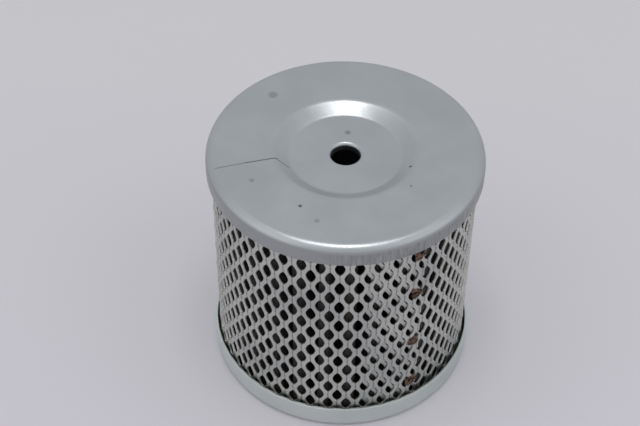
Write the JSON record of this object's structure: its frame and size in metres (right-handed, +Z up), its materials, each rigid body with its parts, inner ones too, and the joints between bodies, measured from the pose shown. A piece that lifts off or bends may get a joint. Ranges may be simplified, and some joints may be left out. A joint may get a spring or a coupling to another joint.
{
  "type": "hydraulic filter element",
  "caption": "Cylindrical hydraulic filter element: pressed end caps, expanded metal sleeve, pleated medium and inner core tube, held by a stud through the top.",
  "frame": {"origin": "centre of the flat bottom face that the element stands on", "axes": "+Z up along the element's axis to the bolt hole; the lapped seam is on the side towards -Y and +X"},
  "size_m": [0.08, 0.08, 0.078],
  "materials": {
    "top_cap_steel": "bright zinc plate, satin, with fine scuffs",
    "bottom_cap_steel": "bright zinc plate, satin",
    "expanded_steel": "zinc plated expanded sheet",
    "core_steel": "zinc plated expanded sheet, dull",
    "filter_medium": "resin-bound fibre, matt, brownish grey",
    "clip_steel": "plain folded strip",
    "adhesive": "cured adhesive, dark",
    "seal_rubber": "moulded nitrile rubber"
  },
  "bodies": {
    "root": {"top_end_cap": "top_cap_steel", "bottom_end_cap": "bottom_cap_steel", "outer_sleeve": "expanded_steel", "core_tube": "core_steel", "pleated_medium": "filter_medium", "pleat_seam_clip": "clip_steel", "top_adhesive_bed": "adhesive", "bottom_adhesive_bed": "adhesive", "outlet_seal": "seal_rubber"}
  },
  "joints": []
}
